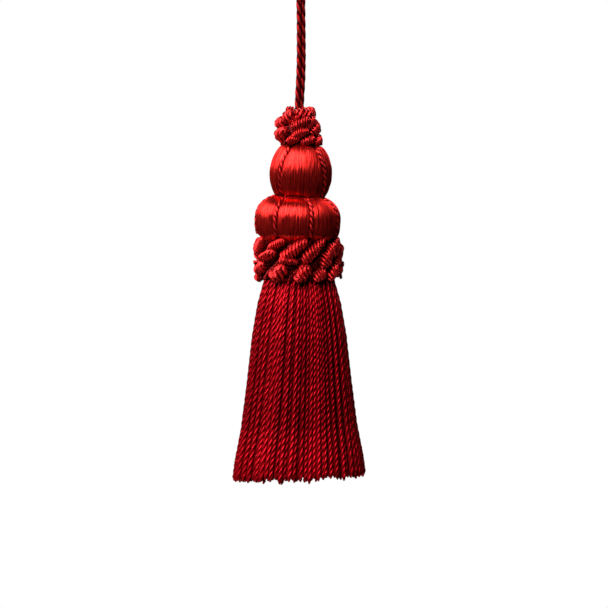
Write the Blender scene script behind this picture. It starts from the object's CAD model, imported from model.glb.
import math

import bpy
from mathutils import Matrix, Vector


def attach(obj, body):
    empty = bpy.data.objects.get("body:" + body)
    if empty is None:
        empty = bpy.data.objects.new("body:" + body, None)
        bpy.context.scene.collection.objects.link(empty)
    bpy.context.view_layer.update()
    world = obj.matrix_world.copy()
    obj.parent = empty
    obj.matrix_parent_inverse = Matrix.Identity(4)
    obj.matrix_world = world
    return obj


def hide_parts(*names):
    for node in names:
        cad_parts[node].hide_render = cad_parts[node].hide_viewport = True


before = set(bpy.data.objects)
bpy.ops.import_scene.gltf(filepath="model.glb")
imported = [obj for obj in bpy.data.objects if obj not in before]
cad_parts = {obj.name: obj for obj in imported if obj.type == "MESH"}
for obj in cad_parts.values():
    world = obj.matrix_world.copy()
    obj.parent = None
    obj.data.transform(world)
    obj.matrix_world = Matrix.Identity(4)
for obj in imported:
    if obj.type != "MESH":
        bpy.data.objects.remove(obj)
bpy.ops.object.select_all(action="DESELECT")
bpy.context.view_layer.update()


# ---- Camera, floor and light -----------------------------------------------------------------
# The tassel hangs in a white studio, clear of everything, and a long lens looks down on its middle
# by 5 degrees. One large soft light stands high on the left of the camera, a weaker one on the far
# left, and a third behind the tassel on its right. A pale floor lies well below the skirt.

MM = 0.001  # all sizes below are millimetres, turned to metres as each object is made

LOOK_AT = Vector((2.0, 0.0, -146.2))
VIEW_DISTANCE = 675.0
VIEW_ELEVATION = math.radians(5.0)
SENSOR_WIDTH = 36.0
VIEW_WIDTH = 243.2  # of what the camera sees at the tassel's middle

away = Vector((0.0, -math.cos(VIEW_ELEVATION), math.sin(VIEW_ELEVATION)))
bpy.ops.object.camera_add(
    location=(LOOK_AT + away * VIEW_DISTANCE) * MM,
    rotation=(math.pi / 2 - VIEW_ELEVATION, 0.0, 0.0),
)
camera = bpy.context.object
camera.data.sensor_width = SENSOR_WIDTH
camera.data.lens = SENSOR_WIDTH * VIEW_DISTANCE / VIEW_WIDTH
camera.data.clip_end = 20.0  # metres
bpy.context.scene.camera = camera
bpy.context.scene.view_settings.view_transform = "Standard"


def linear(code):
    """The linear RGBA colour of an sRGB hex value such as "B00018"."""
    shares = [int(code[i : i + 2], 16) / 255 for i in (0, 2, 4)]
    return [s / 12.92 if s <= 0.04045 else ((s + 0.055) / 1.055) ** 2.4 for s in shares] + [1.0]


def add_node(tree, kind, inputs=None, **settings):
    """Add a node. inputs maps a socket's name or number to its value or to what feeds it."""
    node = tree.nodes.new(kind)
    for name, value in settings.items():
        setattr(node, name, value)
    for socket, value in (inputs or {}).items():
        if isinstance(value, bpy.types.NodeSocket):
            tree.links.new(value, node.inputs[socket])
        else:
            node.inputs[socket].default_value = value
    return node


def soft_light(name, azimuth, elevation, distance, width, height, power):
    """A soft box that faces the tassel. Azimuth 0 is in front, 90 on the right. Distance, width
    and height are in millimetres, and power in watts."""
    turn, rise = math.radians(azimuth), math.radians(elevation)
    towards = Vector(
        (math.sin(turn) * math.cos(rise), -math.cos(turn) * math.cos(rise), math.sin(rise))
    )
    bpy.ops.object.light_add(type="AREA", location=(LOOK_AT + towards * distance) * MM)
    lamp = bpy.context.object
    lamp.name = name
    lamp.rotation_euler = towards.to_track_quat("Z", "Y").to_euler()
    lamp.data.shape = "RECTANGLE"
    lamp.data.size = width * MM
    lamp.data.size_y = height * MM
    lamp.data.energy = power


soft_light("key_light", -24, 42, 1200, 600, 900, 34)
soft_light("left_light", -84, 34, 1300, 700, 900, 24)
soft_light("back_light", 150, 28, 1500, 900, 900, 22)

# The studio is white to look at, but adds only a little light of its own.
ROOM_LIGHT = 0.05
world = bpy.data.worlds.new("white_studio")
world.use_nodes = True
world.node_tree.nodes.clear()
seen = add_node(world.node_tree, "ShaderNodeBackground", {"Color": linear("FFFFFF")})
cast = add_node(
    world.node_tree, "ShaderNodeBackground", {"Color": linear("FFFFFF"), "Strength": ROOM_LIGHT}
)
rays = add_node(world.node_tree, "ShaderNodeLightPath")
room = add_node(
    world.node_tree,
    "ShaderNodeMixShader",
    {0: rays.outputs["Is Camera Ray"], 1: cast.outputs[0], 2: seen.outputs[0]},
)
add_node(world.node_tree, "ShaderNodeOutputWorld", {"Surface": room.outputs[0]})
bpy.context.scene.world = world

FLOOR_DROP = 900.0  # below the loop
FLOOR_RADIUS = 450.0
FLOOR_THICKNESS = 20.0
bpy.ops.mesh.primitive_cylinder_add(
    vertices=96,
    radius=FLOOR_RADIUS * MM,
    depth=FLOOR_THICKNESS * MM,
    location=(0, 0, -FLOOR_DROP * MM),
)
floor = bpy.context.object
floor.name = "floor"
bpy.ops.object.transform_apply(location=True)
# White laminate, plain and mat.
laminate = bpy.data.materials.new("white_laminate")
laminate.use_nodes = True
surface = laminate.node_tree.nodes["Principled BSDF"]
surface.inputs["Base Color"].default_value = linear("F4F4F2")
surface.inputs["Roughness"].default_value = 0.6
floor.data.materials.append(laminate)
bpy.ops.object.select_all(action="DESELECT")


# ---- Hanging cord ----------------------------------------------------------------------------
# One length of two-ply silk cord, S twisted, folded into a loop. Its two legs run down side by
# side into the middle of the neck ruff, where they are tied off. The eye takes a key or a knob.

CORD_DIAMETER = 2.0
CORD_LAY = 8.5  # length of one full turn of the plies
STEPS_PER_LAY = 14  # of the plies
LOOP_FULLNESS = 1.06  # slack cord is a little fuller than its nominal thickness

# The centreline from the left foot, over the bight and down to the right foot. The two legs lie
# against each other below the eye.
LOOP_ROUTE = [
    (-0.7, -0.7, -68.7), (-0.5, -0.65, -63.0), (-0.15, -0.6, -57.0), (0.08, -0.62, -49.0),
    (0.1, -0.65, -41.0), (0.08, -0.75, -33.0), (-0.1, -0.85, -25.0), (-0.7, -1.0, -19.0),
    (-2.0, -1.5, -13.5), (-3.5, -2.15, -8.5), (-4.05, -2.35, -4.4), (-3.45, -1.95, -1.3),
    (-1.9, -1.05, 0.5), (0.0, 0.0, 1.0), (1.9, 1.05, 0.5), (3.5, 1.95, -1.3),
    (4.15, 2.35, -4.4), (3.75, 2.15, -8.5), (2.6, 1.5, -13.5), (1.85, 1.0, -19.0),
    (1.55, 0.85, -25.0), (1.6, 0.75, -33.0), (1.7, 0.65, -41.0), (1.72, 0.62, -49.0),
    (1.55, 0.6, -57.0), (1.2, 0.65, -63.0), (0.95, 0.7, -68.7),
]


def smooth_route(corners, step):
    """Points about a step apart on one smooth curve through the corners."""
    corners = [Vector(c) for c in corners]
    ends = [2 * corners[0] - corners[1]] + corners + [2 * corners[-1] - corners[-2]]
    route = []
    for before, start, end, after in zip(ends, ends[1:], ends[2:], ends[3:]):
        pieces = max(1, round((end - start).length / step))
        for i in range(pieces):
            t = i / pieces
            bend = (end - before) * t + (2 * before - 5 * start + 4 * end - after) * t**2
            bend += (3 * start - before - 3 * end + after) * t**3
            route.append(start + bend / 2)
    return route + [corners[-1]]


def ply_section(plies, corners, relief):
    """(angle, reach) round a cord: equal round plies about its middle. Reach is a share of the
    cord's radius, and relief is how much of the hollow between two plies is left open."""
    half = math.pi / plies
    ply = math.sin(half) / (1 + math.sin(half))
    section = []
    for k in range(plies):
        for c in range(corners):
            turn = half * (2 * c / corners - 1)
            hidden = max(0.0, ply**2 - ((1 - ply) * math.sin(turn)) ** 2)
            outer = (1 - ply) * math.cos(turn) + math.sqrt(hidden)
            section.append((2 * k * half + turn, 1 - relief * (1 - outer)))
    return section


CROWN_CURVE = 1.5  # above 1, so that the full colour keeps to the top of a ply


class Yarn:
    """Tubes gathered into one mesh. Its UV map runs (round, along) each tube in millimetres,
    tone tells one tube from the next, and crown is 1 on top of a ply and 0 in the hollows."""

    def __init__(self):
        self.points = []
        self.faces = []
        self.threads = []
        self.tone = []
        self.crown = []

    def add_tube(self, rings, stations, width, crown, tone, end_tone=None):
        """Rings run anticlockwise seen from the last one, and stations are how far along each is.
        The tone changes to end_tone, if given, over the last quarter of the tube."""
        first = len(self.points)
        sides = len(rings[0])
        change = 0.0 if end_tone is None else end_tone - tone
        for i, ring in enumerate(rings):
            self.points.extend(ring)
            self.crown.extend(crown)
            self.tone.extend([tone + change * max(0.0, 4 * i / len(rings) - 3)] * sides)
        for i in range(len(rings) - 1):
            base = first + i * sides
            low, high = stations[i], stations[i + 1]
            for j in range(sides):
                k = (j + 1) % sides
                left, right = width * j / sides, width * (j + 1) / sides
                self.faces.append((base + j, base + k, base + sides + k, base + sides + j))
                self.threads += (left, low, right, low, right, high, left, high)
        last = first + (len(rings) - 1) * sides
        self.faces.append(tuple(range(first + sides - 1, first - 1, -1)))
        self.faces.append(tuple(range(last, last + sides)))
        for station in (stations[0], stations[-1]):
            for j in range(sides):
                self.threads += (width * j / sides, station)

    def add_cord(
        self, route, outward, radius_at, section, lay, tone, start=0.0, rough=0.0, end_tone=None
    ):
        """A twisted cord along a route. Its turns are counted from outward(point), plus start in
        radians. radius_at(share) gives its radius from its start, 0, to its end, 1, a negative lay
        is an S twist, and rough is how unevenly its surface stands, as a share of its radius."""
        stations = [0.0]
        for here, before in zip(route[1:], route):
            stations.append(stations[-1] + (here - before).length)
        rings = []
        for i, centre in enumerate(route):
            along = route[min(i + 1, len(route) - 1)] - route[max(i - 1, 0)]
            aside = along.cross(outward(centre)).normalized()
            front = aside.cross(along).normalized()
            radius = radius_at(stations[i] / stations[-1])
            turn = start + 2 * math.pi * stations[i] / lay
            ring = []
            for j, (angle, reach) in enumerate(section):
                reach *= radius * (1 + rough * uneven(i // 2, j // 2 + start))
                ring.append(
                    centre
                    + front * (reach * math.cos(angle + turn))
                    + aside * (reach * math.sin(angle + turn))
                )
            rings.append(ring)
        least, most = min(reach for angle, reach in section), max(reach for angle, reach in section)
        crown = [((reach - least) / (most - least)) ** CROWN_CURVE for angle, reach in section]
        self.add_tube(rings, stations, 2 * math.pi * radius_at(0.5), crown, tone, end_tone)

    def make(self, name, material, place=Matrix()):
        """One object at the origin, its points put in place and turned to metres."""
        mesh = bpy.data.meshes.new(name)
        mesh.from_pydata(self.points, [], self.faces)
        mesh.uv_layers.new(name="threads").data.foreach_set("uv", self.threads)
        for attribute, values in (("tone", self.tone), ("crown", self.crown)):
            mesh.attributes.new(attribute, "FLOAT", "POINT").data.foreach_set("value", values)
        mesh.transform(Matrix.Scale(MM, 4) @ place)
        mesh.shade_smooth()
        mesh.materials.append(material)
        piece = bpy.data.objects.new(name, mesh)
        bpy.context.collection.objects.link(piece)
        return piece


def uneven(index, salt):
    """A number from -1 to 1 that looks random but is the same in every run."""
    wave = math.sin(index * 12.9898 + salt * 78.233) * 43758.5453
    return 2 * (wave - math.floor(wave)) - 1


SILK_IOR = 1.55
CROWN_RISE = 0.85  # how much fuller the colour is on a crown than in a hollow
HOLLOW_LEVEL = -0.1  # below 0, so that the hollows stay deep in colour


def dyed_silk(
    name, deep, full, glint, shine, roughness, patch, relief, contrast, round_threads=False
):
    """Dyed silk: deep colour in the hollows, full colour on the crowns, and a highlight drawn out
    across the fibres. Light that has passed through the dyed fibres comes back in their colour,
    as from a metal, and shine is its share. glint is the colour of the rest. patch is the size of
    the uneven streaks of the dye (round, along), relief how high single fibres stand, both in
    millimetres, and contrast how far the streaks differ. round_threads is for fibres that run
    round the piece."""
    material = bpy.data.materials.new(name)
    material.use_nodes = True
    tree = material.node_tree
    tree.nodes.clear()
    threads = add_node(tree, "ShaderNodeUVMap", uv_map="threads")
    stretched = add_node(
        tree,
        "ShaderNodeMapping",
        {"Vector": threads.outputs[0], "Scale": (1 / patch[0], 1 / patch[1], 1.0)},
    )
    streaks = add_node(
        tree,
        "ShaderNodeTexNoise",
        {"Vector": stretched.outputs[0], "Scale": 1.0, "Detail": 3.0, "Roughness": 0.6},
        noise_dimensions="2D",
    )
    tone = add_node(tree, "ShaderNodeAttribute", attribute_name="tone")
    crown = add_node(tree, "ShaderNodeAttribute", attribute_name="crown")
    dyed = add_node(
        tree,
        "ShaderNodeMath",
        {0: streaks.outputs["Fac"], 1: contrast, 2: tone.outputs["Fac"]},
        operation="MULTIPLY_ADD",
    )
    lit = add_node(
        tree,
        "ShaderNodeMath",
        {0: crown.outputs["Fac"], 1: CROWN_RISE, 2: HOLLOW_LEVEL - contrast / 2},
        operation="MULTIPLY_ADD",
    )
    level = add_node(
        tree, "ShaderNodeMath", {0: dyed.outputs[0], 1: lit.outputs[0]}, use_clamp=True
    )
    colour = add_node(
        tree,
        "ShaderNodeMix",
        {"Factor": level.outputs[0], 6: linear(deep), 7: linear(full)},
        data_type="RGBA",
    )
    bump = add_node(
        tree,
        "ShaderNodeBump",
        {"Height": streaks.outputs["Fac"], "Strength": 1.0, "Distance": relief * MM},
    )
    across = add_node(tree, "ShaderNodeTangent", direction_type="UV_MAP", uv_map="threads")
    silk = add_node(
        tree,
        "ShaderNodeBsdfPrincipled",
        {
            "Base Color": colour.outputs[2],
            "Metallic": shine,
            "Roughness": roughness,
            "IOR": SILK_IOR,
            "Specular IOR Level": 1.0,
            "Specular Tint": linear(glint),
            "Anisotropic": 0.85,
            "Anisotropic Rotation": 0.25 if round_threads else 0.0,
            "Tangent": across.outputs[0],
            "Normal": bump.outputs[0],
        },
    )
    add_node(tree, "ShaderNodeOutputMaterial", {"Surface": silk.outputs[0]})
    return material


# Two-ply twisted silk: the twist breaks its shine into short glints between dark hollows.
cord_silk = dyed_silk(
    name="twisted_silk_cord",
    deep="400006",
    full="E02A26",
    glint="FF5850",
    shine=0.75,
    roughness=0.38,
    patch=(0.25, 3.0),
    relief=0.03,
    contrast=1.4,
)

loop_route = smooth_route(LOOP_ROUTE, CORD_LAY / STEPS_PER_LAY)
loop_front = Vector((0.45, -1.0, 0.0))  # square to the plane that the loop lies in
loop_plies = ply_section(plies=2, corners=6, relief=0.2)
loop = Yarn()
loop.add_cord(
    loop_route,
    lambda point: loop_front,
    lambda share: LOOP_FULLNESS * CORD_DIAMETER / 2,
    loop_plies,
    -CORD_LAY,
    tone=-0.2,  # a little darker than the cords laid on the ball and the bun
)
hanging_cord = loop.make("hanging_cord_silk", cord_silk)
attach(hanging_cord, "root")
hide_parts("hanging_cord")


# ---- Neck ruff -------------------------------------------------------------------------------
# Short fat rolls of silk gimp, each wound tight on a cotton core, sewn aslant round the neck in
# three tiers. It hides the place where the hanging cord is tied to the mould.

GIMP_PITCH = 1.25  # from one wound thread to the next, along a roll of the girth below
GIMP_GIRTH = 2.2  # a fatter roll has its threads further apart
GIMP_THREADS = 4  # wound side by side, so the lay is this many pitches
GIMP_CORNERS = 6  # across each thread
GIMP_UNEVEN = 0.09  # how unevenly the threads stand, as a share of the girth
STEPS_PER_TURN = 16  # of the threads round a roll
ROLL_CURL = 60.0  # degrees that the free end of a roll hooks down
ROLL_BOW = 0.3  # how far a roll's ends stand out beyond its middle, in girths
ROLL_TAPER = 0.08  # from end to end, for each girth of length
ROLL_TAPER_MOST = 0.46
ROLL_LUMPS = 0.07  # how its girth swells and shrinks along it, as a share
ROLL_TONES = 0.1  # how far the rolls differ in tone
ROLL_TIP = 0.12  # what is left of the girth at both tips
BEHIND_TONE = -0.6  # of the rolls that lie in the dark behind the others
CORE_TONE = -0.8  # and of what the rolls are sewn to
gimp_section = ply_section(plies=GIMP_THREADS, corners=GIMP_CORNERS, relief=0.95)


def around(azimuth, radius, z):
    """A point at an azimuth in degrees: 0 in front, 90 on the right."""
    turn = math.radians(azimuth)
    return Vector((radius * math.sin(turn), -radius * math.cos(turn), z))


def add_roll(yarn, centre_x, azimuth, z, radius, slope, length, girth, tone):
    """A roll laid aslant on a cylinder: its lower left end stands free and hooks down, and its
    upper right end is a little thinner. radius is how far its middle line lies from the axis,
    girth is its own radius, and slope is in degrees."""
    steps = max(8, round(length * STEPS_PER_TURN / (GIMP_THREADS * GIMP_PITCH)))
    curl = ROLL_CURL * (0.6 + 0.4 * uneven(z, 21))
    taper = min(ROLL_TAPER_MOST, ROLL_TAPER * length / girth)
    aside, up, bends = 0.0, 0.0, []
    for i in range(steps + 1):
        share = 2 * i / steps - 1
        bends.append((share, aside, up))
        heading = math.radians(slope + curl * max(0.0, -share) ** 2)
        aside += length / steps * math.cos(heading)
        up += length / steps * math.sin(heading)
    middle_aside = (bends[0][1] + bends[-1][1]) / 2
    middle_up = (bends[0][2] + bends[-1][2]) / 2
    route = []
    for share, aside, up in bends:
        turn = azimuth + math.degrees((aside - middle_aside) / radius)
        bow = ROLL_BOW * girth * (share**2 - 0.4)
        point = around(turn, radius + bow, z + up - middle_up)
        route.append(point + Vector((centre_x, 0, 0)))

    def girth_at(share):
        end = abs(2 * share - 1)
        lumps = 1 + ROLL_LUMPS * math.sin(7 * share + azimuth)
        return girth * lumps * (1 + taper * (0.5 - share)) * max(ROLL_TIP, (1 - end**3) ** 0.5)

    lay = GIMP_THREADS * GIMP_PITCH * (girth / GIMP_GIRTH) ** 2 * (1 + 0.12 * uneven(azimuth, 23))
    threads = [
        (angle, reach * (1 + GIMP_UNEVEN * uneven(j // GIMP_CORNERS, azimuth)))
        for j, (angle, reach) in enumerate(gimp_section)
    ]
    yarn.add_cord(
        route,
        lambda point: Vector((point.x - centre_x, point.y, 0)),
        girth_at,
        threads,
        -lay,
        tone,
        start=azimuth,
        rough=GIMP_UNEVEN,
    )


def turned_rings(rows, sides, centre_x):
    """Rings round an upright axis, from (radius, z) rows."""
    return [
        [around(360 * j / sides, radius, z) + Vector((centre_x, 0, 0)) for j in range(sides)]
        for radius, z in rows
    ]


NECK_LEAN = math.radians(2.4)
NECK_FOOT = Vector((-0.4, 0.0, -83.5))
# The rolls in front, placed one by one: azimuth, height above the foot, distance from the
# middle, slope, length and girth.
NECK_FRONT = [
    (-40, 11.3, 6.0, 58, 6.2, 3.1),
    (-16, 9.6, 5.6, 62, 5.4, 1.7),
    (22, 12.8, 4.8, 8, 6.6, 2.7),
    (-75, 8.7, 7.5, 34, 5.2, 2.6),
    (8, 8.9, 7.0, 30, 8.2, 2.0),
    (47, 9.4, 6.2, 44, 6.4, 2.0),
    (70, 6.6, 7.0, 40, 6.0, 2.1),
    (-64, 4.3, 7.2, 26, 7.6, 2.9),
    (10, 4.9, 7.5, 24, 7.2, 1.9),
    (-14, 2.2, 7.3, 14, 5.4, 1.8),
    (34, 2.4, 7.2, 24, 6.6, 2.0),
    (78, 2.2, 8.2, 22, 5.6, 1.9),
]
NECK_BACK = [
    {"count": 3, "first": 95, "step": 62, "z": 12.7, "radius": 4.6},
    {"count": 3, "first": 118, "step": 52, "z": 8.9, "radius": 6.4},
    {"count": 4, "first": 112, "step": 46, "z": 3.6, "radius": 7.3},
]
NECK_BACK_SLOPE = 32
NECK_BACK_LENGTH = 8.6
# rolls that show only as dark windings between those above
NECK_BEHIND = [
    {"count": 6, "first": 20, "step": 60, "z": 11.5, "radius": 3.2},
    {"count": 7, "first": 0, "step": 51, "z": 6.6, "radius": 4.8},
    {"count": 7, "first": 15, "step": 51, "z": 1.9, "radius": 5.6},
]
NECK_BEHIND_SLOPE = 35
NECK_BEHIND_LENGTH = 6.5
NECK_BEHIND_GIRTH = 1.6
# small loose ends of thread
NECK_ENDS = [
    (80, 12.4, 6.0, 62, 2.6, 0.8),
    (94, 11.4, 6.0, -20, 2.2, 0.6),
    (84, 6.6, 8.4, 40, 2.6, 0.75),
    (88, 1.4, 9.2, 20, 2.6, 0.7),
    (-84, 12.0, 6.0, 70, 2.0, 0.6),
    (150, 8.0, 8.0, 50, 2.6, 0.7),
    (-150, 10.0, 7.0, 30, 2.4, 0.7),
]
neck_place = Matrix.Translation(NECK_FOOT) @ Matrix.Rotation(NECK_LEAN, 4, "Y")

# Tightly wound silk gimp: each thread catches the light on its crown.
ruff_silk = dyed_silk(
    name="wound_silk_gimp",
    deep="3C0005",
    full="E02426",
    glint="FF7468",
    shine=0.72,
    roughness=0.34,
    patch=(0.9, 0.4),
    relief=0.08,
    contrast=2.2,
    round_threads=True,
)

neck_rolls = Yarn()
for index, (azimuth, z, radius, slope, length, girth) in enumerate(NECK_FRONT):
    tone = ROLL_TONES * uneven(index, 1)
    add_roll(neck_rolls, 0.0, azimuth, z, radius, slope, length, girth, tone)
for tier in NECK_BACK:
    for k in range(tier["count"]):
        add_roll(
            neck_rolls,
            0.0,
            tier["first"] + k * tier["step"] + 5 * uneven(k, 2),
            tier["z"],
            tier["radius"],
            NECK_BACK_SLOPE + 6 * uneven(k, 3),
            NECK_BACK_LENGTH,
            GIMP_GIRTH,
            ROLL_TONES * uneven(k, 4),
        )
for tier in NECK_BEHIND:
    for k in range(tier["count"]):
        add_roll(
            neck_rolls,
            0.0,
            tier["first"] + k * tier["step"],
            tier["z"],
            tier["radius"],
            NECK_BEHIND_SLOPE,
            NECK_BEHIND_LENGTH,
            NECK_BEHIND_GIRTH,
            BEHIND_TONE,
        )
for azimuth, z, radius, slope, length, girth in NECK_ENDS:
    add_roll(neck_rolls, 0.0, azimuth, z, radius, slope, length, girth, 0.0)
neck_ruff = neck_rolls.make("neck_ruff_rolls", ruff_silk, neck_place)

# The core: the radius and height of each ring, how far each is along its side, and its girth.
NECK_CORE = [(0.5, 0.2), (5.4, 0.4), (6.4, 3.0), (5.6, 8.0), (4.0, 13.6), (0.5, 14.0)]
NECK_CORE_STATIONS = [0, 5, 8, 13, 19, 23]
NECK_CORE_WIDTH = 40.0
NECK_CORE_SIDES = 32
core_yarn = Yarn()
core_yarn.add_tube(
    turned_rings(NECK_CORE, NECK_CORE_SIDES, 0.0),
    NECK_CORE_STATIONS,
    NECK_CORE_WIDTH,
    [0.0] * NECK_CORE_SIDES,
    CORE_TONE,
)
neck_core = core_yarn.make("neck_ruff_core", ruff_silk, neck_place)
for piece in (neck_ruff, neck_core):
    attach(piece, "root")
    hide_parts("neck_ruff")


# ---- Ball ------------------------------------------------------------------------------------
# A turned mould wound from pole to pole with straight silk floss, thread beside thread. Four
# fine two-ply cords are drawn down over it, and the floss closes in on them from both sides.

HEAD_CENTRE = Vector((-0.62, 0.0, -113.0))  # the middle of the bun, on which the ball stands
HEAD_LEAN = math.radians(2.4)
head_place = Matrix.Translation(HEAD_CENTRE) @ Matrix.Rotation(HEAD_LEAN, 4, "Y")
BALL_CENTRE = Vector((0.55, 0.0, 18.75))  # from the middle of the bun
ball_place = head_place @ Matrix.Translation(BALL_CENTRE)

BALL_RADIUS = 12.4
BALL_HALF_HEIGHT = 14.7
BALL_TOP = 10.3
BALL_FOOT = -11.5
# the radius of each ring where the floss turns in at the top, and how far above BALL_TOP it lies
BALL_TOP_ROWS = [(8.1, 0.6), (6.9, 1.1), (5.4, 1.3), (3.6, 1.0)]
BALL_RINGS = 34
BALL_PULL = 0.15
BALL_CORD_STEPS = 62
LAID_CORD_DIAMETER = 1.5
LAID_CORD_LAY = 5.0
# azimuth, how far it slants over the ball's height, and how proud it stands at its top and foot
BALL_CORDS = [(-44, 8, 0.35, -0.5), (52, -10, 0.5, 0.35), (141, -4, 0.4, 0.2), (-134, 4, 0.4, 0.2)]

FLOSS_PITCH = 0.4  # one thread of floss and the next, drawn as coarse as it needs to show
FLOSS_HEIGHT = 0.1
FLOSS_UNEVEN = 0.7  # how unevenly the threads stand, as a share of their height
FLOSS_WAVE = 0.05  # how far a thread rises and dips along its length
GROOVE_WIDTH = 0.9  # of the groove that a cord lies in, from its middle to where it fades
GROOVE_DEPTH = 1.5
PULL_WIDTH = 3.2  # how far the floss is drawn in beside a cord, in groove widths


def wound_floss(profile, cords_at, pull):
    """Rings round a mould, its profile given as (radius, z) rows from foot to top. cords_at(z)
    gives the azimuths of the cords, and pull is how deep the floss is drawn in beside them."""
    count = 2 * round(math.pi * max(radius for radius, z in profile) / FLOSS_PITCH)
    rings = []
    for i, (radius, z) in enumerate(profile):
        below, above = profile[max(i - 1, 0)], profile[min(i + 1, len(profile) - 1)]
        fall = Vector((above[1] - below[1], below[0] - above[0])).normalized()
        ring = []
        for j in range(2 * count):
            azimuth = 180 * j / count
            sunk = FLOSS_HEIGHT * (j % 2 + FLOSS_UNEVEN * uneven(j, 5))
            ripple = 0.9 + 0.4 * uneven(j // 3, 19)
            sunk += FLOSS_WAVE * math.sin(z * ripple + 9 * uneven(j // 3, 20))
            for cord in cords_at(z):
                gap = abs((azimuth - cord + 180) % 360 - 180)
                off = math.radians(gap) * radius
                sunk += GROOVE_DEPTH * math.exp(-((off / GROOVE_WIDTH) ** 2))
                sunk += pull * math.exp(-((off / (PULL_WIDTH * GROOVE_WIDTH)) ** 2))
            ring.append(around(azimuth, radius - sunk * fall.x, z - sunk * fall.y))
        rings.append(ring)
    return rings


def add_wound(yarn, rings):
    """The rings as one closed skin, whose threads run from foot to top."""
    stations = [0.0]
    for here, before in zip(rings[1:], rings):
        stations.append(stations[-1] + (here[0] - before[0]).length)
    sides = len(rings[0])
    width = 2 * math.pi * max(point.length for point in rings[len(rings) // 2])
    yarn.add_tube(rings, stations, width, [1.0 - j % 2 for j in range(sides)], 0.0)


def ball_radius(z):
    """The ball is an ellipse in profile, cut off at its top and foot."""
    return BALL_RADIUS * math.sqrt(1 - (z / BALL_HALF_HEIGHT) ** 2)


def ball_cords_at(z):
    """The azimuths of the four cords at a height."""
    return [azimuth + slant * z / BALL_TOP for azimuth, slant, top, foot in BALL_CORDS]


# Straight floss silk: the shiniest part, with a broad satin sheen and long uneven streaks down its
# threads.
floss_silk = dyed_silk(
    name="straight_silk_floss",
    deep="600006",
    full="F63028",
    glint="FF9080",
    shine=0.9,
    roughness=0.42,
    patch=(0.4, 12.0),
    relief=0.06,
    contrast=2.6,
)

ball_profile = []
for i in range(BALL_RINGS + 1):
    z = BALL_FOOT + (BALL_TOP - BALL_FOOT) * i / BALL_RINGS
    ball_profile.append((ball_radius(z), z))
ball_profile += [(radius, BALL_TOP + rise) for radius, rise in BALL_TOP_ROWS]
ball_floss = Yarn()
add_wound(ball_floss, wound_floss(ball_profile, ball_cords_at, BALL_PULL))
ball = ball_floss.make("ball_floss", floss_silk, ball_place)
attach(ball, "root")
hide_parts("ball")


def outward_from_axis(point):
    """The way out from the mould's axis at a point."""
    return Vector((point.x, point.y, 0.0))


def laid_route(place, steps):
    """The centreline of a cord over a mould. place(share) gives the (azimuth, radius, z) of the
    floss under it and how proud the cord stands there."""
    route = []
    for i in range(steps + 1):
        azimuth, radius, z, proud = place(i / steps)
        above, below = place(max(0, i / steps - 0.01)), place(min(1, i / steps + 0.01))
        out = Vector((above[2] - below[2], below[1] - above[1])).normalized()
        lift = proud - LAID_CORD_DIAMETER / 2
        route.append(around(azimuth, radius + lift * out.x, z + lift * out.y))
    return route


laid_plies = ply_section(plies=2, corners=6, relief=0.3)
for k, (azimuth, slant, proud_top, proud_foot) in enumerate(BALL_CORDS):

    def place_on_ball(share):
        z = BALL_TOP + (BALL_FOOT - BALL_TOP) * share
        proud = proud_top + (proud_foot - proud_top) * share
        return azimuth + slant * z / BALL_TOP, ball_radius(z), z, proud

    laid = Yarn()
    laid.add_cord(
        laid_route(place_on_ball, BALL_CORD_STEPS),
        outward_from_axis,
        lambda share: LAID_CORD_DIAMETER / 2,
        laid_plies,
        -LAID_CORD_LAY,
        tone=0.0,
    )
    ball_cord = laid.make(f"ball_cord_{k + 1}_silk", cord_silk, ball_place)
    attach(ball_cord, "root")
    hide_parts(f"ball_cord_{k + 1}")


# ---- Bun -------------------------------------------------------------------------------------
# A squat mould wound the same way, with seven cords drawn down over it, which pull its floss in
# like the ribs of a pumpkin. Its top dips to take the ball.

BUN_RADIUS = 17.2
BUN_TOP_HEIGHT = 11.4
BUN_FOOT_HEIGHT = 13.0
BUN_SQUARENESS = 2.5
# the radius and height of each ring where the floss turns in below, and in the dip on top
BUN_FOOT_ROWS = [(8.6, -11.0), (11.4, -9.6), (13.8, -7.9)]
BUN_DIP_ROWS = [(10.4, 9.5), (9.6, 8.9), (8.9, 8.0), (8.3, 7.0)]
BUN_PULL = 0.5
BUN_CORD_COUNT = 7
BUN_CORD_FIRST = 20  # azimuth
BUN_CORD_PROUD = 0.05
BUN_CORD_TOP = 44  # the polar angle where a cord starts
BUN_CORD_SWEEP = 66  # and how far down it runs from there
BUN_CORD_STEPS = 60


def bun_point(angle):
    """(radius, z) of the floss at a polar angle in degrees, 0 at the top and 180 below."""
    out, up = math.sin(math.radians(angle)), math.cos(math.radians(angle))
    height = BUN_TOP_HEIGHT if up > 0 else BUN_FOOT_HEIGHT
    power = BUN_SQUARENESS
    reach = ((out / BUN_RADIUS) ** power + abs(up / height) ** power) ** (-1 / power)
    return reach * out, reach * up


bun_cord_azimuths = [BUN_CORD_FIRST + 360 * k / BUN_CORD_COUNT for k in range(BUN_CORD_COUNT)]
bun_profile = BUN_FOOT_ROWS + [bun_point(angle) for angle in range(108, 45, -2)] + BUN_DIP_ROWS
bun_floss = Yarn()
add_wound(bun_floss, wound_floss(bun_profile, lambda z: bun_cord_azimuths, BUN_PULL))
bun = bun_floss.make("bun_floss", floss_silk, head_place)
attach(bun, "root")
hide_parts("bun")

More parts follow.
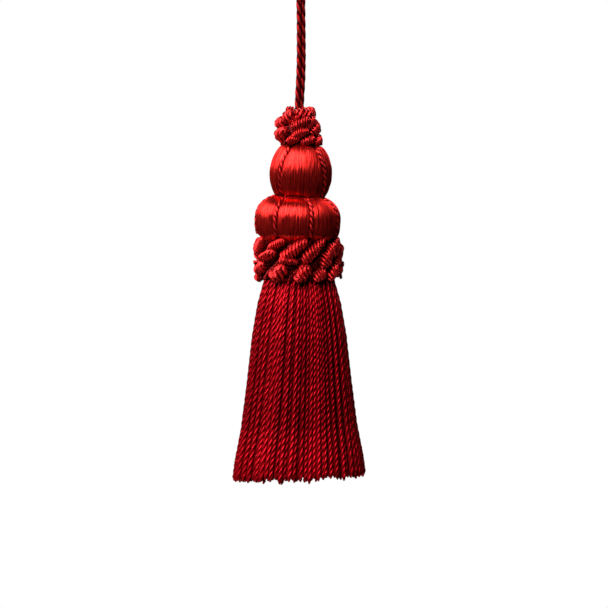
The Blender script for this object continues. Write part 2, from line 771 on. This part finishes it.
for k, azimuth in enumerate(bun_cord_azimuths):

    def place_on_bun(share):
        radius, z = bun_point(BUN_CORD_TOP + BUN_CORD_SWEEP * share)
        return azimuth, radius, z, BUN_CORD_PROUD

    laid = Yarn()
    laid.add_cord(
        laid_route(place_on_bun, BUN_CORD_STEPS),
        outward_from_axis,
        lambda share: LAID_CORD_DIAMETER / 2,
        laid_plies,
        -LAID_CORD_LAY,
        tone=0.0,
    )
    bun_cord = laid.make(f"bun_cord_{k + 1}_silk", cord_silk, head_place)
    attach(bun_cord, "root")
    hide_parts(f"bun_cord_{k + 1}")


# ---- Base ruff -------------------------------------------------------------------------------
# Larger rolls of the same gimp, sewn aslant round a band that covers the head of the skirt: one
# tier along the foot of the bun, and the free ends of a second one hanging below it.

BASE_X = -0.3
# azimuth, height, distance from the axis, slope, length and girth of each roll in front
BASE_FRONT = [
    (-76, -122.6, 15.4, 36, 9.2, 2.2),
    (-31, -121.9, 15.4, 24, 7.6, 2.0),
    (-48, -126.5, 16.0, 20, 9.2, 2.4),
    (-12, -128.8, 16.5, -4, 7.6, 1.7),
    (-5, -124.2, 15.7, 37, 13.4, 2.45),
    (25, -124.4, 15.7, 42, 13.2, 2.3),
    (51, -126.4, 16.0, 50, 11.8, 2.4),
    (74, -123.0, 15.4, 50, 9.4, 2.2),
    (80, -128.2, 15.4, 46, 8.6, 2.1),
    (88, -130.8, 16.0, 62, 8.2, 2.1),
    (-66, -131.6, 16.2, 30, 7.8, 2.4),
    (-88, -134.6, 15.8, 62, 6.0, 1.9),
    (-25, -133.0, 16.2, 52, 8.2, 3.4),
    (9, -133.2, 16.2, 50, 8.0, 2.9),
    (34, -134.0, 16.0, 44, 6.2, 2.3),
    (60, -133.2, 16.2, 48, 7.4, 2.4),
]
BASE_BACK = [
    {"count": 7, "first": 102, "step": 27.5, "z": -124.4, "slope": 38, "length": 13.6},
    {"count": 6, "first": 112, "step": 28.5, "z": -132.4, "slope": 50, "length": 9.4},
]
BASE_BACK_RADIUS = 15.9
BASE_BACK_GIRTH = 2.3
# rolls that show only as dark windings between those above
BASE_BEHIND = [
    {"count": 14, "z": -123.6, "radius": 13.0},
    {"count": 14, "z": -129.2, "radius": 13.6},
    {"count": 14, "z": -133.6, "radius": 13.8},
]
BASE_BEHIND_SLOPE = 40
BASE_BEHIND_LENGTH = 8.0
BASE_BEHIND_GIRTH = 1.7
# small loose ends of thread
BASE_ENDS = [
    (84, -124.8, 17.5, 25, 2.6, 0.75),
    (96, -127.4, 17.4, -35, 2.4, 0.65),
    (86, -130.2, 17.8, 50, 2.8, 0.8),
    (98, -132.8, 17.6, 10, 2.6, 0.7),
    (82, -135.0, 17.2, 60, 2.4, 0.7),
    (-92, -129.6, 17.4, 40, 2.4, 0.7),
    (-84, -125.4, 17.2, 65, 2.2, 0.6),
    (170, -131.0, 17.6, 45, 2.6, 0.7),
]
base_rolls = Yarn()
for index, (azimuth, z, radius, slope, length, girth) in enumerate(BASE_FRONT):
    tone = ROLL_TONES * uneven(index, 6)
    add_roll(base_rolls, BASE_X, azimuth, z, radius, slope, length, girth, tone)
for tier in BASE_BACK:
    for k in range(tier["count"]):
        add_roll(
            base_rolls,
            BASE_X,
            tier["first"] + k * tier["step"] + 3 * uneven(k, 7),
            tier["z"] + 0.6 * uneven(k, 9),
            BASE_BACK_RADIUS,
            tier["slope"] + 6 * uneven(k, 8),
            tier["length"],
            BASE_BACK_GIRTH,
            ROLL_TONES * uneven(k, 10),
        )
for tier in BASE_BEHIND:
    for k in range(tier["count"]):
        add_roll(
            base_rolls,
            BASE_X,
            360 * k / tier["count"] + 6 * uneven(k, 22),
            tier["z"],
            tier["radius"],
            BASE_BEHIND_SLOPE,
            BASE_BEHIND_LENGTH,
            BASE_BEHIND_GIRTH,
            BEHIND_TONE,
        )
for azimuth, z, radius, slope, length, girth in BASE_ENDS:
    add_roll(base_rolls, BASE_X, azimuth, z, radius, slope, length, girth, 0.0)
base_ruff = base_rolls.make("base_ruff_rolls", ruff_silk)

# The band that the rolls are sewn to, from its foot up.
BAND_ROWS = [(13.2, -135.2), (14.0, -134.6), (13.8, -128.0), (13.2, -122.4), (12.4, -121.0)]
BAND_STATIONS = [0, 2, 9, 15, 17]
BAND_WIDTH = 90.0
BAND_SIDES = 48
band_yarn = Yarn()
band_yarn.add_tube(
    turned_rings(BAND_ROWS, BAND_SIDES, BASE_X),
    BAND_STATIONS,
    BAND_WIDTH,
    [0.0] * BAND_SIDES,
    CORE_TONE,
)
base_band = band_yarn.make("base_ruff_band", ruff_silk)
for piece in (base_ruff, base_band):
    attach(piece, "root")
    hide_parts("base_ruff")


# ---- Skirt -----------------------------------------------------------------------------------
# Bullion fringe: hard-twisted strands of three plies, Z twisted, whose roots are bound into a head
# under the ruff. They crowd each other at the top, hang apart below and end in small cut nubs,
# where the fibres open and look paler.

STRAND_RADIUS = 0.9
STRAND_LAY = 8.8
STRAND_SWAY = 0.6  # degrees that a strand hangs out of line at its tip
STRAND_WAVE = 0.55  # and that it bends to and fro there
STRAND_TONES = 0.42  # how far the strands differ in tone
STRAND_END_PALER = 0.6
STRAND_NUB = 0.35  # what is left of a strand's girth at its cut end
STRAND_NUB_RISE = 0.45  # and how much more it has for each millimetre above
INNER_FULLNESS = 1.2  # the strands inside are drawn fatter, so that they fill the skirt
ROW_UNEVEN = 0.6  # how far a strand stands out of its row, as a share of the gap between rows
SKIRT_X = 0.1
SKIRT_TOP = -128.2
SKIRT_LENGTH = 84.9  # along the middle, before it is cut uneven
SKIRT_HALF_WIDTH = 27.0
# how far down, how far out the strands' outer side lies, how far in the next row lies, and the
# share of a strand's full girth that it has there
SKIRT_SHAPE = [
    (0.0, 12.4, 1.2, 0.6),
    (9.0, 14.6, 1.0, 0.72),
    (17.5, 17.0, 0.95, 0.84),
    (30.0, 19.2, 0.9, 0.92),
    (48.0, 21.3, 1.0, 0.97),
    (66.0, 23.7, 1.0, 1.0),
    (79.0, 26.3, 1.0, 1.03),
    (86.0, 27.2, 1.0, 1.03),
]
SKIRT_SWIRL = -9.0  # degrees that a strand drifts round from root to tip
SKIRT_CUT_SLOPE = 0.04  # the cut ends lie lower towards the left
SKIRT_SIDE_DROP = 2.6  # and on both sides
CUT_UNEVEN = 0.8  # each clump, and each strand in it, is up to this much longer or shorter
CLUMP_WIDTH = 8  # degrees


def between(rows, drop):
    """A row of the shape at any drop, in proportion between the two rows around it."""
    for low, high in zip(rows, rows[1:]):
        if drop <= high[0]:
            break
    share = min(1.0, (drop - low[0]) / (high[0] - low[0]))
    return [a + (b - a) * share for a, b in zip(low, high)]


def add_strand(yarn, azimuth, depth, index, section, steps_per_lay):
    """A strand from its root to its nubbed end. depth is how many rows in it lies, and index
    tells it from the others."""
    left = -math.sin(math.radians(azimuth + SKIRT_SWIRL))
    length = SKIRT_LENGTH + SKIRT_CUT_SLOPE * SKIRT_HALF_WIDTH * left + SKIRT_SIDE_DROP * left**4
    length += CUT_UNEVEN * (uneven(round(azimuth / CLUMP_WIDTH), 28) + uneven(index, 26))
    steps = round(length / STRAND_LAY * steps_per_lay)
    route = []
    for i in range(steps + 1):
        share = i / steps
        drop, out, row_gap, girth = between(SKIRT_SHAPE, share * SKIRT_SHAPE[-1][0])
        sway = STRAND_SWAY * share * uneven(index, 12)
        sway += STRAND_WAVE * math.sin(5 * share + 3 * uneven(index, 13)) * share
        turn = azimuth + SKIRT_SWIRL * share + sway
        inward = girth * STRAND_RADIUS + (depth + ROW_UNEVEN * uneven(index, 14)) * row_gap
        route.append(
            around(turn, out - inward, SKIRT_TOP - share * length) + Vector((SKIRT_X, 0, 0))
        )

    def girth_at(share):
        nub = min(1.0, STRAND_NUB + STRAND_NUB_RISE * (1 - share) * length)
        plump = (INNER_FULLNESS if depth > 1 else 1.0) + 0.08 * uneven(index, 25)
        return STRAND_RADIUS * plump * between(SKIRT_SHAPE, share * SKIRT_SHAPE[-1][0])[3] * nub

    tone = STRAND_TONES * uneven(index, 15)
    yarn.add_cord(
        route,
        lambda point: Vector((point.x - SKIRT_X, point.y, 0)),
        girth_at,
        section,
        STRAND_LAY * (1 + 0.2 * uneven(index, 24)),
        tone,
        start=3 * uneven(index, 16),
        rough=0.03,
        end_tone=tone + STRAND_END_PALER * (1 + max(0.0, uneven(index, 27))),
    )


# Hard-twisted bullion silk: dark between the plies, with a thin glint along each.
strand_silk = dyed_silk(
    name="bullion_strand_silk",
    deep="500006",
    full="9A0814",
    glint="FF3030",
    shine=0.62,
    roughness=0.4,
    patch=(0.4, 3.0),
    relief=0.05,
    contrast=2.4,
)

STRANDS_ROUND = 86
# how deep the rows behind lie, and how many strands each has
INNER_ROWS = [(1.9, 84), (2.8, 74)]
CORE_ROWS = [(4.2, 62), (8.0, 48)]
# The strands behind show less, so they are made with fewer faces.
strand_section = ply_section(plies=3, corners=4, relief=0.65)
plain_section = ply_section(plies=3, corners=2, relief=0.65)
STRAND_STEPS = 12  # for each lay
PLAIN_STEPS = 8
rows = {"front": Yarn(), "second": Yarn(), "inner": Yarn(), "core": Yarn()}
for i in range(STRANDS_ROUND):
    row = "second" if i % 2 else "front"
    azimuth = 360 * (i + 0.4 * uneven(i, 17)) / STRANDS_ROUND
    add_strand(rows[row], azimuth, i % 2, i, strand_section, STRAND_STEPS)
for row, layers in (("inner", INNER_ROWS), ("core", CORE_ROWS)):
    for depth, count in layers:
        for i in range(count):
            azimuth = 360 * (i + 0.37 * depth + 0.3 * uneven(i, 18)) / count
            add_strand(rows[row], azimuth, depth, 100 * count + i, plain_section, PLAIN_STEPS)
for row, yarn in rows.items():
    strands = yarn.make(f"skirt_{row}_strands", strand_silk)
    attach(strands, "root")
    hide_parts("skirt")

# The bound head, from its foot up.
HEAD_ROWS = [(12.4, -129.4), (12.4, -126.0), (11.8, -125.4)]
HEAD_STATIONS = [0, 3, 4]
HEAD_WIDTH = 78.0
HEAD_SIDES = 48
HEAD_TONE = -0.2
head_yarn = Yarn()
head_yarn.add_tube(
    turned_rings(HEAD_ROWS, HEAD_SIDES, SKIRT_X),
    HEAD_STATIONS,
    HEAD_WIDTH,
    [0.0] * HEAD_SIDES,
    HEAD_TONE,
)
skirt_head = head_yarn.make("skirt_head", strand_silk)
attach(skirt_head, "root")
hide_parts("skirt")
